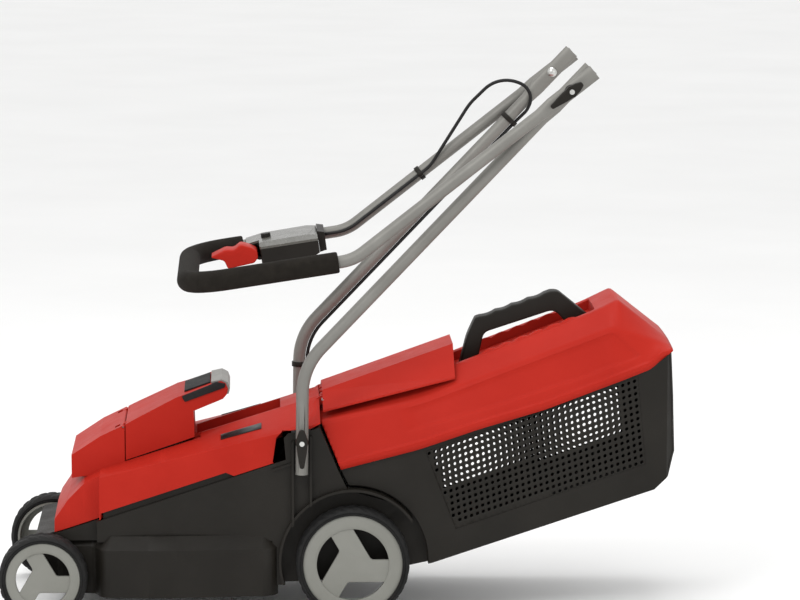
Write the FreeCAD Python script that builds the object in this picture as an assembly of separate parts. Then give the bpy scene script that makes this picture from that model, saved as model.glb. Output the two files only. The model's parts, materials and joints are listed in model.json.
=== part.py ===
"""Cordless push lawn mower with a folding U handle and a rear grass box.

Millimetres. +X is forward, +Y is the operator's left, +Z is up, and Z = 0 is the ground.
The parts are laid out from the rear axle (X = 0) and moved by ORIGIN_SHIFT when written,
so that the finished mower's origin is the bottom centre of its bounding box.
The handle is drawn folded forward over its lower tubes.
"""
import FreeCAD, Part
import math
import os

os.makedirs("parts", exist_ok=True)
V = FreeCAD.Vector

# Driving dimensions
ORIGIN_SHIFT = -22.5        # half the difference between front and rear overhang
REAR_WHEEL_R, FRONT_WHEEL_R = 90.0, 70.0
FRONT_AXLE_X = 489.0
WHEEL_IN, WHEEL_OUT = 141.0, 185.0
AXLE_TRAVEL = 18.0          # each way, for the cutting height
WALL = 3.5
WALL_Y = 154.0              # outer face of the deck's upper side walls
ARCH_R = 113.0              # wheel arch about the rear axle
BLADE_X, BLADE_R = 304.0, 163.0
SKIRT_Z, BEVEL_Z, DECK_TOP_Z = 38.0, 114.0, 134.0
CAVITY_Z = 108.0            # ceiling of the cutting chamber
TUBE_R, TUBE_WALL = 10.0, 1.2
LOWER_Y, UPPER_Y = 165.0, 186.0
BASE = (80.0, 287.0)        # base bolt, as (x, z)
FOOT_Z = 233.0
ELBOW = (78.0, 404.0)
PIVOT = (-340.0, 840.0)     # fold bolt
GRIP_BEND = (-2.0, 577.0)
GRIP_END = (258.0, 538.1)
BEYOND = 47.0               # tube left past the fold bolt
CABLE_R = 2.8
CABLE_IN = (66.0, -146.0)   # where the cable goes down into the hood, as (x, y)
COVER_HINGE = (363.5, 296.0)
FLAP_HINGE = (44.0, 335.0)
RUNNING = 0.06              # radial clearance of a running fit


# Helpers
def box(x0, x1, y0, y1, z0, z1):
    return Part.makeBox(x1 - x0, y1 - y0, z1 - z0, V(x0, y0, z0))


def rod_y(x, z, r, y0, y1):
    return Part.makeCylinder(r, y1 - y0, V(x, y0, z), V(0, 1, 0))


def rod_z(x, y, r, z0, z1):
    return Part.makeCylinder(r, z1 - z0, V(x, y, z0), V(0, 0, 1))


def side(points, y0, y1):
    """A profile of (x, z) points, drawn out along Y."""
    wire = Part.makePolygon([V(x, y0, z) for x, z in points + points[:1]])
    return Part.Face(wire).extrude(V(0, y1 - y0, 0))


def tangent_points(before, corner, after, r):
    """Where an arc of radius r leaves and joins the two straight runs at a corner, and its middle."""
    a, b = (before - corner).normalize(), (after - corner).normalize()
    half = a.getAngle(b) / 2
    reach = r / math.tan(half)
    middle = (a + b).normalize()
    return corner + a * reach, corner + middle * (r / math.sin(half) - r), corner + b * reach


def rounded_wire(points, radii, closed):
    """Straight runs joined by tangent arcs. A radius of 0 keeps a corner sharp."""
    edges, here = [], None
    count = len(points)
    order = range(count) if closed else range(1, count - 1)
    start = None if closed else points[0]
    for i in order:
        r = radii[i]
        if r:
            p, m, q = tangent_points(points[i - 1], points[i], points[(i + 1) % count], r)
        else:
            p = m = q = points[i]
        if here is None:
            here = start
        if here is not None and (p - here).Length > 1e-6:
            edges.append(Part.LineSegment(here, p).toShape())
        if start is None:
            start = p
        if r:
            edges.append(Part.Arc(p, m, q).toShape())
        here = q
    end = start if closed else points[-1]
    if (end - here).Length > 1e-6:
        edges.append(Part.LineSegment(here, end).toShape())
    return Part.Wire(edges)


def plan(half, radii, z):
    """A closed outline at height z from its +Y half, given as (x, y) points from rear to front."""
    points = [V(x, y, z) for x, y in half] + [V(x, -y, z) for x, y in reversed(half)]
    return rounded_wire(points, radii + radii[::-1], True)


def tube(points, radii, r):
    """A round bar along straight runs joined by tangent arcs."""
    path = rounded_wire(points, [0] + radii + [0], False)
    along = points[1] - points[0]
    section = Part.Wire([Part.makeCircle(r, points[0], along)])
    solid = path.makePipeShell([section], True, True)
    print("tube r %.1f, bends %s, volume %.1f of %.1f" % (
        r, ["%.0f" % x for x in radii], solid.Volume, math.pi * r * r * path.Length))
    return solid


def mirrored(shape):
    return shape.mirror(V(0, 0, 0), V(0, 1, 0))


def pair(shape):
    """Left and right copies in one node."""
    return Part.makeCompound([shape, mirrored(shape)])


def joined(shapes):
    return shapes[0].multiFuse(shapes[1:]).removeSplitter()


def loft(wires, ruled=True):
    return Part.makeLoft(wires, True, ruled)


def cross_section(x, half):
    """A closed YZ outline at x, from its +Y half."""
    points = [V(x, y, z) for y, z in half] + [V(x, -y, z) for y, z in reversed(half)]
    return Part.makePolygon(points + points[:1])


def along(a, b, x):
    """Height at x on the line through two (x, z) points."""
    return a[1] + (b[1] - a[1]) * (x - a[0]) / (b[0] - a[0])


def write(name, shape):
    shape = shape.copy()
    shape.translate(V(ORIGIN_SHIFT, 0, 0))
    if not shape.isValid():
        print("NOT VALID", name)
    shape.exportStep("parts/%s.step" % name)
    b = shape.BoundBox
    print("%-22s solids %d  volume %9.0f  x %.0f..%.0f y %.0f..%.0f z %.0f..%.0f" % (
        name, len(shape.Solids), shape.Volume, b.XMin, b.XMax, b.YMin, b.YMax, b.ZMin, b.ZMax))


# Lines the red hood, the deck and the rear parts share, as pairs of (x, z)
PARTING = ((380.0, 165.0), (95.6, 257.4))
SHOULDER = ((380.0, 231.0), (88.0, 303.0))
RIM = ((245.0, 278.0), (113.0, 319.0))


def band(x0, x1, low, high):
    """A strip along the parting line between two heights over it, as a profile."""
    return [(x0, along(*PARTING, x0) + low), (x1, along(*PARTING, x1) + low),
            (x1, along(*PARTING, x1) + high), (x0, along(*PARTING, x0) + high)]


# Deck: skirt round the blade, sloped upper walls, rear chute, wheel arches and tube channels
SKIRT = [(118, 168), (300, 178), (396, 172), (409, 137), (462, 128), (482, 110)]
SKIRT_R = [26, 380, 20, 8, 40, 25]


def skirt_outline(inset, z):
    wire = plan(SKIRT, SKIRT_R, z)
    return wire.makeOffset2D(-inset) if inset else wire


def skirt_solid(inset, z0, z1):
    return Part.Face(skirt_outline(inset, z0)).extrude(V(0, 0, z1 - z0))


def deck():
    skirt = skirt_solid(0, SKIRT_Z, BEVEL_Z)
    bevel = loft([skirt_outline(0, BEVEL_Z), skirt_outline(18, DECK_TOP_Z)])
    front_z = along(*PARTING, 470)
    upper = side([(127, 124), (470, 124), (470, front_z), (127, along(*PARTING, 127))], -WALL_Y, WALL_Y)
    well = box(404, 480, 137, 200, 100, 300)
    upper = upper.cut(well).cut(mirrored(well))
    rear = [(127, 52), (127, along(*PARTING, 127)), (105, along(*PARTING, 105)), (108, 289), (101, 296.5),
            (66, 300), (52, 306), (23, 238), (5, 200), (-78, 176), (-70, 60)]
    rear = side(rear, -WALL_Y, WALL_Y)
    apron = side([(470, 100), (507, 112), (503, 128), (470, front_z)], -122, 122)
    shell = joined([skirt, bevel, upper, rear, apron])

    # hollow above the ceiling for the motor, below it for the blade, and the chute between the wheels
    chamber = skirt_solid(WALL, SKIRT_Z - 5, CAVITY_Z)
    ceiling = CAVITY_Z + WALL
    attic = side([(193, ceiling), (466, ceiling), (466, 330), (58, 330), (60, 300), (86, 262), (125, 195)],
                 -WALL_Y + WALL, WALL_Y - WALL)
    attic = attic.cut(box(404 - WALL, 480, 137 - WALL, 200, 100, 320)).cut(
        box(404 - WALL, 480, -200, -137 + WALL, 100, 320))
    attic = attic.common(loft([skirt_outline(WALL, ceiling), skirt_outline(WALL + 18, DECK_TOP_Z)]).fuse(
        box(60, 466, -WALL_Y, WALL_Y, DECK_TOP_Z, 320)))
    chute = side([(240, 20), (240, CAVITY_Z), (186, CAVITY_Z), (120, 190), (80, 256), (56, 290), (-90, 330),
                  (-90, 132), (30, 132), (121, 60), (121, 20)], -106, 106)
    shell = shell.cut(chamber).cut(attic).cut(chute)

    # wheel arches open outward, with the space under the chute floor and behind it left clear
    arch = rod_y(0, REAR_WHEEL_R, ARCH_R, 133, 210)
    under = side([(115, 20), (-120, 20), (-120, 128), (28, 128), (115, 60)], -129.5, 129.5)
    pocket = side([(123, 130), (123, 254), (100, 254), (98, 250), (70, 250), (60, 262), (22, 204),
                   (40, 192), (90, 166)], 109.5, WALL_Y - WALL)
    behind = box(-200, 2, -129.5, 129.5, 20, 330).cut(box(-28, 2, -109, 109, 128, 132))
    shell = shell.cut(arch).cut(mirrored(arch)).cut(under).cut(behind).cut(pocket).cut(mirrored(pocket))
    trim = side([(-90, 20), (-60, 20), (-66, 90), (-52, 150), (-90, 190)], -200, 200)
    shell = shell.cut(trim)

    # arch lips, tube channels, axle slots and horns for the front axle
    lip = Part.makeCylinder(ARCH_R + 4, 30, V(0, 133, REAR_WHEEL_R), V(0, 1, 0))
    lip = lip.cut(rod_y(0, REAR_WHEEL_R, ARCH_R, 120, 200))
    lip = lip.common(side([(0, 90), (150, 40), (150, 220), (-95, 220), (-95, 150)], 120, 200))
    rib_front = side([(92.5, 150), (96, 147), (96, 284), (92.5, 286)], WALL_Y - 1, 165)
    rib_rear = side([(64, 182), (67.5, 180), (67.5, 292), (64, 293)], WALL_Y - 1, 165)
    step = side([(127, 240), (96, 250), (96, 246), (127, 236)], WALL_Y - 1, WALL_Y + 3)
    horn = side([(466, 44), (500, 44), (500, 120), (466, 120)], 118, 122)
    upstand = side(band(130, 394, -6, 14), 145.6, 149.0)
    upstand = upstand.fuse(side(band(130, 394, -6, -0.5), 145.6, WALL_Y - 2))
    adds = [lip, rib_front, rib_rear, step, horn, upstand]
    shell = joined([shell] + adds + [mirrored(s) for s in adds])
    for x, z, r in ((0, REAR_WHEEL_R, 5.5), (FRONT_AXLE_X, FRONT_WHEEL_R, 4.5)):
        slot = rod_y(x, z - AXLE_TRAVEL, r, -140, 140).fuse(rod_y(x, z + AXLE_TRAVEL, r, -140, 140))
        slot = slot.fuse(box(x - r, x + r, -140, 140, z - AXLE_TRAVEL, z + AXLE_TRAVEL))
        shell = shell.cut(slot)
    bolt_hole = rod_y(BASE[0], BASE[1], 4.05, -200, 200)
    return shell.cut(bolt_hole).cut(rod_z(BLADE_X, 0, 22, 90, 130))


deck_shell = deck()
write("deck_shell", deck_shell)


# Red hood over the motor and battery bay
def hood_half(x, inset):
    """Half a cross-section of the hood: parting edge, shoulder, then the sloping top."""
    nose = max(0.0, (x - 400) / 72.0)
    drop = 52 * nose ** 2
    low = along(*PARTING, x) + 1.5
    shoulder = max(along(*SHOULDER, x) - drop, low + 12)
    rim = max(along(*RIM, x) - drop, shoulder + 4)
    width = WALL_Y - 22 * nose ** 2
    tan_low = 1.5
    if x >= 400:
        width = min(width, 134.0)
    return [(0, low - 30 * (inset > 0)), (width - inset, low - 30 * (inset > 0)),
            (width - inset, low + tan_low), (width - 5 - inset, shoulder - inset * 0.8),
            (46, rim - inset), (0, rim + 2 - inset)]


HOOD_REAR, HOOD_SPLIT, HOOD_FRONT = 50.0, 399.9, 472.0
BLOCK_X = (250.0, 361.0)     # battery cover block on the hood
BLOCK_HALF = 86.0
COVER_PIN_R = 1.6


def block_plan(inset):
    """Everything inside the block's plan, which narrows towards the rear."""
    def half(x):
        return BLOCK_HALF - inset - 0.1875 * (360 - min(x, 360))
    outline = [V(x, half(x), 180) for x in (150, 360, 480)] + [V(x, -half(x), 180) for x in (480, 360, 150)]
    return Part.Face(Part.makePolygon(outline + outline[:1])).extrude(V(0, 0, 260))


def dome(inset):
    """The raised housing for the battery packs, ahead of and under the cover."""
    rear_x, front_x = BLOCK_X[0] + inset, 446.0 - inset
    outline = [(rear_x, 240), (rear_x, 335 - inset), (280, 331 - inset), (361, 300.5 - inset),
               (400, 282 - inset), (front_x, 252 - inset), (front_x, 215)]
    return side(outline, -BLOCK_HALF, BLOCK_HALF).common(block_plan(inset))


def hood():
    x_rear = [HOOD_REAR, 160.0, 300.0, HOOD_SPLIT]
    x_front = [400.0, 425.0, 450.0, HOOD_FRONT]
    outer = joined([loft([cross_section(x, hood_half(x, 0)) for x in x_rear]),
                    loft([cross_section(x, hood_half(x, 0)) for x in [HOOD_SPLIT] + x_front])])
    outer = joined([outer, dome(0)])
    x_rear_in = [HOOD_REAR - 1, 160.0, 300.0, 396.0]
    x_front_in = [396.0, 404.0, 425.0, 450.0, HOOD_FRONT - 3]
    inner = loft([cross_section(x, hood_half(x, 3)) for x in x_rear_in])
    inner = joined([inner, loft([cross_section(x, hood_half(max(x, 400.0), 3)) for x in x_front_in])])
    shell = outer.cut(inner).cut(dome(3))
    # the open shadow gap over the deck's upstand, which closes near the tube brackets
    gap = side([(398, along(*PARTING, 398) - 30), (398, along(*PARTING, 398) + 11), (200, along(*PARTING, 200) + 11),
                (184, along(*PARTING, 184) - 1)], 145, 160)
    shell = shell.cut(gap).cut(mirrored(gap))
    # the cover's opening: everything of the block above the seam, behind the hinge line
    seam = side([(240, 275), (BLOCK_X[1], 241), (BLOCK_X[1], 340), (240, 400)], -BLOCK_HALF - 1, BLOCK_HALF + 1)
    shell = shell.cut(seam)
    # hand recess behind the block, closed by its own walls
    recess_top = side([(112, 275), (247, 232), (247, 300), (112, 340)], -42, 42)
    recess_shell = side([(109, 271), (250, 227), (250, along(*RIM, 250)), (109, along(*RIM, 109))], -45, 45)
    shell = joined([shell, recess_shell]).cut(recess_top)
    # room for the tube brackets at both sides, and the sloping rear edge over the chute
    notch = side([(126, 250), (120, 289), (110, 299.5), (66, 303), (50, 311), (30, 311), (30, 240)], 138, 170)
    shell = shell.cut(notch).cut(mirrored(notch))
    # slots and pin seats for the cover's hinge, ears for the flap's pin, and the cable's hole
    slot = side([(361, 277), (376, 277), (377, 330), (355, 330)], 58, 74)
    ear = side([(54, 322), (54, 336), (48, 339.6), (41, 339.6), (38.5, 336), (40, 330)], 50, 57)
    boss = [(361, 289), (368, 289), (372, 292.5), (372, 294.5), (361, 299)]
    seat, post = side(boss, -57, 57), side(boss, 74, 84)
    adds = [ear, mirrored(ear), seat, post, mirrored(post)]
    shell = joined([shell.cut(slot).cut(mirrored(slot))] + adds)
    shell = shell.cut(side([(355, 296.6), (361, 298.2), (365, 300.5), (355, 306)], -90, 90))
    shell = shell.cut(rod_y(COVER_HINGE[0], COVER_HINGE[1], COVER_PIN_R, -90, 90))
    shell = shell.cut(rod_y(FLAP_HINGE[0], FLAP_HINGE[1], 2.5, -60, 60))
    return shell.cut(rod_z(CABLE_IN[0], CABLE_IN[1], CABLE_R, 280, 330))


write("hood", hood())


def slope_patch(x0, x1, y0, y1, thick):
    """A thin plate lying on the hood's sloping top, between two stations and two widths."""
    wires = []
    for x in (x0, x1):
        s, r = along(*SHOULDER, x), along(*RIM, x)
        low, high = (r + (s - r) * (y - 46) / (WALL_Y - 5 - 46) + 0.15 for y in (y1, y0))
        points = [V(x, y0, high), V(x, y1, low), V(x, y1, low + thick), V(x, y0, high + thick)]
        wires.append(Part.makePolygon(points + points[:1]))
    return loft(wires)


write("badges", pair(slope_patch(143, 208, 88, 112, 1.4)))

# Battery cover: the block's lid with the carry lip behind it, hinged at its front edge
LIP = [(256, 318), (250, 318.5), (204, 336), (198, 343), (196, 352), (200, 361), (207, 364.5), (222, 361),
       (262, 346.5), (284, 338)]


def cover():
    seam = [(250, 276), (359.5, 243), (359.5, 301), (342, 310), (278, 341.5), (262, 346.5), (252, 347)]
    outer = joined([side(seam, -BLOCK_HALF, BLOCK_HALF), side(LIP, -BLOCK_HALF, BLOCK_HALF)]).common(block_plan(0))
    hollow = side([(253, 260), (370, 227), (370, 290), (356.5, 297), (341, 306), (278, 337.5), (262, 342.5),
                   (253, 342.5)], -BLOCK_HALF, BLOCK_HALF).common(block_plan(3))
    inside_lip = side(LIP, -40, 40)
    body = joined([outer.cut(hollow), inside_lip])
    ears = side([(345, 300), (356, 292), (363, 291), (368, 293.5), (368.5, 297), (363, 299.8), (345, 308)], 60, 72)
    body = joined([body, ears, mirrored(ears)])
    pin_hole = rod_y(COVER_HINGE[0], COVER_HINGE[1], COVER_PIN_R + RUNNING, -90, 90)
    return body.cut(pin_hole)


cover_body = cover()
strip = side([(265, 333), (203, 353.5), (200.5, 357), (204, 361.5), (214, 361), (268, 340.5)], -90, 90)
strip = strip.common(block_plan(-2.5))
pad = side([(266, 344), (224.5, 359.5), (224.5, 363), (266, 348.5)], -46, 46)
end_cap = side([(223, 360), (206, 363.5), (200.5, 360), (196.5, 352), (198.2, 343), (194.6, 344), (192.6, 353),
                (196, 362.5), (205.5, 367.6), (223, 364)], -54, 54)
pad = pad.cut(cover_body)
strips = strip.cut(cover_body)
end_cap = end_cap.cut(cover_body).cut(pad)
write("battery_cover", cover_body)
write("cover_grip_strips", strips)
write("cover_grip_pad", pad)
write("cover_end_cap", end_cap)
write("cover_hinge_pin", rod_y(COVER_HINGE[0], COVER_HINGE[1], COVER_PIN_R, -80, 80))

# Under the cover: tray, two packs side by side, and the controller box ahead of them
tray = box(256, 356, -80, 80, 214, 240).cut(box(259, 353, -77, 77, 217, 250))
legs = [box(x, x + 8, y, y + 8, CAVITY_Z + WALL, 214) for x in (256, 348) for y in (-78, 70)]
write("battery_tray", joined([tray] + legs))
pack = box(264, 348, 4, 72, 217.2, 252).fuse(box(276, 340, 8, 62, 252, 282))
write("battery_pack_left", pack)
write("battery_pack_right", mirrored(pack))
write("control_box", box(376, 436, -60, 60, CAVITY_Z + WALL, 150))

# Motor and blade
plate = rod_z(BLADE_X, 0, 62, CAVITY_Z + WALL, 116).cut(rod_z(BLADE_X, 0, 7, 100, 130))
can = rod_z(BLADE_X, 0, 50, 116, 200).fuse(rod_z(BLADE_X, 0, 18, 200, 208))
can = can.cut(rod_z(BLADE_X, 0, 46, 120, 196)).cut(rod_z(BLADE_X, 0, 6 + RUNNING, 110, 190))
write("motor_plate", plate)
write("motor_can", can)
screws = [rod_z(BLADE_X + 56 * math.cos(a), 56 * math.sin(a), 4, 116, 119.5)
          for a in (math.radians(k) for k in (45, 135, 225, 315))]
write("motor_screws", Part.makeCompound(screws))
write("motor_shaft", rod_z(BLADE_X, 0, 6, 58, 186).fuse(rod_z(BLADE_X, 0, 38, 128, 182)))
carrier = rod_z(BLADE_X, 0, 28, 58, 64).fuse(rod_z(BLADE_X, 0, 15, 64, 84)).cut(rod_z(BLADE_X, 0, 6, 50, 100))
write("blade_carrier", carrier)


def blade():
    half = [(0, 26), (118, 26), (150, 18), (BLADE_R - 3, 8)]
    points = [V(x, y, 54) for x, y in half[1:]] + [V(x, -y, 54) for x, y in reversed(half[1:])]
    points += [V(-p.x, -p.y, 54) for p in points]
    bar = Part.Face(Part.makePolygon(points + points[:1])).extrude(V(0, 0, 4))
    vane = loft([Part.makePolygon([V(112, -26, 56), V(148, -18, 56), V(148, -15, 56), V(112, -23, 56), V(112, -26, 56)]),
                 Part.makePolygon([V(114, -34, 72), V(144, -26, 72), V(144, -23, 72), V(114, -31, 72), V(114, -34, 72)])])
    back = vane.copy()
    back.rotate(V(0, 0, 0), V(0, 0, 1), 180)
    bar = joined([bar, vane, back]).cut(Part.makeCylinder(4.5, 20, V(0, 0, 50)))
    bar.rotate(V(0, 0, 0), V(0, 0, 1), 28)
    bar.translate(V(BLADE_X, 0, 0))
    return bar


write("blade", blade())
head = Part.Face(Part.makePolygon([V(BLADE_X + 9 * math.cos(math.radians(60 * k)),
                                     9 * math.sin(math.radians(60 * k)), 46) for k in range(7)]))
bolt = head.extrude(V(0, 0, 6)).fuse(rod_z(BLADE_X, 0, 14, 51, 54)).fuse(rod_z(BLADE_X, 0, 4.4, 54, 58))
write("blade_bolt", joined([bolt]))

# Wheels: tyre on a rim with three swept spokes, running on the axle ends
SPOKE_RIM, SPOKE_HUB = 57.0, 30.0        # opening's outer arc and inner point on the rear rim


def spoke_opening(scale, turn):
    """One of the rim's three openings: an arc under the ring and a point near the hub."""
    def at(r, deg):
        a = math.radians(deg + turn)
        return V(-scale * r * math.cos(a), 0, scale * r * math.sin(a))
    start, end = at(SPOKE_RIM, 92), at(SPOKE_RIM, 6)
    wire = Part.Wire([Part.Arc(start, at(SPOKE_RIM, 49), end).toShape(),
                      Part.LineSegment(end, at(SPOKE_HUB, 14)).toShape(),
                      Part.LineSegment(at(SPOKE_HUB, 14), start).toShape()])
    return Part.Face(wire).extrude(V(0, 80, 0))


def wheel(name, x, radius, axle_r, is_left):
    """Built on the left at the axle's centre line, and turned half round for the right."""
    tyre_in = radius - 11
    r = radius
    profile = [(tyre_in, WHEEL_IN + 2), (r - 6, WHEEL_IN), (r - 1.5, WHEEL_IN + 4), (r, WHEEL_IN + 9),
               (r, WHEEL_OUT - 9), (r - 1.5, WHEEL_OUT - 4), (r - 6, WHEEL_OUT), (tyre_in, WHEEL_OUT - 2)]
    face = Part.Face(Part.makePolygon([V(a, b, 0) for a, b in profile + profile[:1]]))
    tyre = face.revolve(V(0, 0, 0), V(0, 1, 0), 360)
    scale = tyre_in / 79.0
    rim = rod_y(0, 0, tyre_in, WHEEL_IN + 2, WHEEL_OUT - 3)
    rim = rim.cut(rod_y(0, 0, tyre_in - 6, WHEEL_IN, WHEEL_OUT - 13))
    hub = rod_y(0, 0, 15, WHEEL_IN + 4, WHEEL_OUT - 8)
    rim = rim.fuse(hub)
    for turn in (0, 120, 240):
        hole = spoke_opening(scale, turn)
        hole.translate(V(0, WHEEL_IN, 0))
        rim = rim.cut(hole)
    rim = rim.cut(rod_y(0, 0, axle_r + RUNNING, WHEEL_IN, WHEEL_OUT - 9))
    for kind, shape in (("tyre", tyre), ("rim", rim)):
        if not is_left:
            shape.rotate(V(0, 0, 0), V(0, 0, 1), 180)
        shape.translate(V(x, 0, radius))
        write("%s_%s" % (kind, name), shape)


for end, x, radius, axle_r in (("front", FRONT_AXLE_X, FRONT_WHEEL_R, 4.0), ("rear", 0.0, REAR_WHEEL_R, 5.0)):
    for hand, is_left in (("left", True), ("right", False)):
        wheel("%s_%s" % (end, hand), x, radius, axle_r, is_left)
    write("axle_%s" % end, rod_y(x, radius, axle_r, -WHEEL_OUT + 10, WHEEL_OUT - 10))
    clip = rod_y(x, radius, 9, WHEEL_IN + 1.5, WHEEL_IN + 3.5).cut(rod_y(x, radius, axle_r, 100, 200))
    write("axle_clips_%s" % end, pair(clip))

# Lower tubes, standing in the deck's channels and flattened where the fold bolt goes through
FLAT_A, FLAT_B, FLAT_FROM = 12.5, 6.5, 62.0


def flattened(inner, outer_end, centre_shift, wall):
    """The last stretch of a tube, from round to flat: its outside, or its inside for a wall thickness."""
    run = outer_end - inner
    unit = V(run.x, run.y, run.z).normalize()
    flat_start = inner + unit * 26 + V(0, centre_shift, 0)
    flat_end = outer_end + V(0, centre_shift, 0)
    round_wire = Part.Wire(Part.makeCircle(TUBE_R - wall, inner, unit))
    flat_edge = Part.Ellipse(V(0, 0, 0), FLAT_A - wall, FLAT_B - wall).toShape()
    flat_edge.Placement = FreeCAD.Placement(flat_start, FreeCAD.Rotation(unit.cross(V(0, 1, 0)), V(0, 1, 0), unit))
    flat_wire = Part.Wire(flat_edge)
    neck = Part.makeLoft([round_wire, flat_wire], True, False)
    return neck.fuse(Part.Face(flat_wire).extrude(flat_end - flat_start))


def lower_tube():
    foot, elbow, pivot = (V(p[0], LOWER_Y, p[1]) for p in ((BASE[0], FOOT_Z), ELBOW, PIVOT))
    unit = (pivot - elbow).normalize()
    neck = pivot - unit * FLAT_FROM
    layers = []
    for wall in (0, TUBE_WALL):
        body = tube([foot, elbow, neck], [105], TUBE_R - wall)
        end = flattened(neck, pivot + unit * (BEYOND + wall), 3.5, wall)
        layers.append(joined([body, end]))
    solid = layers[0].cut(layers[1])
    for x, z in (BASE, PIVOT):
        solid = solid.cut(rod_y(x, z, 4.05, 140, 200))
    return solid


lower_left = lower_tube()
write("lower_tube_left", lower_left)
write("lower_tube_right", mirrored(lower_left))


def upper_loop():
    end, bend, corner = (V(p[0], UPPER_Y, p[1]) for p in (PIVOT, GRIP_BEND, GRIP_END))
    unit = (end - bend).normalize()
    neck = end - unit * FLAT_FROM
    far = [V(p.x, -p.y, p.z) for p in (neck, bend, corner)]
    layers = []
    for wall in (0, TUBE_WALL):
        body = tube([neck, bend, corner, far[2], far[1], far[0]], [75, 62, 62, 75], TUBE_R - wall)
        tip = flattened(neck, end + unit * (BEYOND + wall), -3.5, wall)
        layers.append(joined([body, tip, mirrored(tip)]))
    return layers[0].cut(layers[1]).cut(rod_y(PIVOT[0], PIVOT[1], 4.05, -220, 220))


write("handle_loop", upper_loop())

# Foam on the grip bar, from near the left bend round to the switch box
GRIP_SLOPE = math.degrees(math.atan2(GRIP_BEND[1] - GRIP_END[1], GRIP_END[0] - GRIP_BEND[0]))
GRIP_LENGTH = math.hypot(GRIP_END[0] - GRIP_BEND[0], GRIP_END[1] - GRIP_BEND[1])


def grip(u, y, w):
    """A point given along the grip bar from its bend, across the mower, and off the loop's plane."""
    a = math.radians(GRIP_SLOPE)
    return V(GRIP_BEND[0] + u * math.cos(a) + w * math.sin(a), y, GRIP_BEND[1] - u * math.sin(a) + w * math.cos(a))


def grip_box(u0, u1, y0, y1, w0, w1):
    block = Part.makeBox(u1 - u0, y1 - y0, w1 - w0, V(u0, y0, w0))
    return to_grip(block)


def to_grip(shape):
    shape.rotate(V(0, 0, 0), V(0, 1, 0), GRIP_SLOPE)
    shape.translate(V(GRIP_BEND[0], 0, GRIP_BEND[1]))
    return shape


FOAM_START, BOX_START, BOX_END = 24.0, 46.0, 172.0
FOAM_R = 17.0
foam_path = [grip(FOAM_START, UPPER_Y, 0), grip(GRIP_LENGTH, UPPER_Y, 0), grip(GRIP_LENGTH, -UPPER_Y, 0),
             grip(BOX_END + 1, -UPPER_Y, 0)]
foam = tube(foam_path, [62, 62], FOAM_R).cut(tube(
    [grip(FOAM_START - 1, UPPER_Y, 0), foam_path[1], foam_path[2], grip(BOX_END, -UPPER_Y, 0)], [62, 62], TUBE_R))
write("foam_grip", foam)

# Switch box on the right bar: grey top shell, black bottom shell, rear clamp plate
BOX_IN, BOX_OUT = -76.0, -204.0


def box_profile(points, y0, y1):
    wire = Part.makePolygon([V(u, y0, w) for u, w in points + points[:1]])
    return to_grip(Part.Face(wire).extrude(V(0, y1 - y0, 0)))


bar_hole = to_grip(Part.makeCylinder(TUBE_R, 240, V(20, -UPPER_Y, 0), V(1, 0, 0)))
top_shell = box_profile([(BOX_START + 4, 4), (BOX_START + 4, 13), (66, 15.5), (140, 14.5), (BOX_END - 4, 10),
                         (BOX_END, 4)], BOX_OUT, BOX_IN)
near_slope = to_grip(Part.Face(Part.makePolygon([V(0, BOX_IN + 1, 7), V(0, BOX_IN - 12, 16.5), V(0, BOX_IN + 1, 30),
                                                 V(0, BOX_IN + 1, 7)])).extrude(V(260, 0, 0)))
front_turn = to_grip(Part.Face(Part.makePolygon([V(144, BOX_IN + 1, -40), V(180, -128, -40), V(190, BOX_IN + 1, -40),
                                                 V(144, BOX_IN + 1, -40)])).extrude(V(0, 0, 80)))
top_hollow = box_profile([(58, 0), (58, 12), (136, 11.5), (158, 8), (160, 0)], -198, BOX_IN - 10)
bottom_shell = box_profile([(BOX_START + 4, 3.6), (BOX_START + 4, -16), (60, -20.5), (150, -19), (BOX_END - 6, -12),
                            (BOX_END - 2, 3.6)], BOX_OUT, BOX_IN)
bottom_hollow = box_profile([(58, 5), (58, -15), (148, -14), (158, -8), (158, 5)], -198, BOX_IN - 4)
lever_slot = grip_box(146, 190, -122, -60, -26, 26)
button_hole = to_grip(Part.makeCylinder(8 + RUNNING, 40, V(134, -140, -8)))
top_shell = top_shell.cut(near_slope).cut(front_turn).cut(top_hollow).cut(bar_hole).cut(lever_slot).cut(button_hole)
bottom_shell = bottom_shell.cut(front_turn).cut(bottom_hollow).cut(bar_hole).cut(lever_slot)
write("switch_box_top", top_shell)
write("switch_box_bottom", bottom_shell)
clamp = box_profile([(BOX_START - 8, -17), (BOX_START + 3.6, -19), (BOX_START + 3.6, 16), (BOX_START - 8, 13)],
                    -202, -104).cut(bar_hole)
write("switch_box_clamp", clamp)
button = to_grip(Part.makeCylinder(8, 19, V(134, -140, 2)))
write("lock_button", button)

LEVER_PIN = (158.0, -2.0)      # along the bar and off its plane
lever = box_profile([(228, 8), (200, 17), (188, 14), (176, 21), (160, 14), (150, 6), (150, -8), (158, -16),
                     (203, -19), (206, -4)], -118, -66)
lever = lever.cut(to_grip(Part.makeCylinder(3 + RUNNING, 60, V(LEVER_PIN[0], -130, LEVER_PIN[1]), V(0, 1, 0))))
write("switch_lever", lever)
lever_pin = to_grip(Part.makeCylinder(3, 51.5, V(LEVER_PIN[0], -121.9, LEVER_PIN[1]), V(0, 1, 0)))
write("lever_pin", lever_pin)

# Bolts and wing knobs
base_bolt = rod_y(BASE[0], BASE[1], 4, 140, 195).fuse(rod_y(BASE[0], BASE[1], 9, 146.9, 150.4))
write("base_bolts", pair(base_bolt))
fold_bolt = rod_y(PIVOT[0], PIVOT[1], 4, 160, 209).fuse(
    Part.makeSphere(9, V(PIVOT[0], 165.5, PIVOT[1])).common(box(-400, -300, 150, 162, 800, 900)))
write("fold_bolts", pair(fold_bolt))


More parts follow.
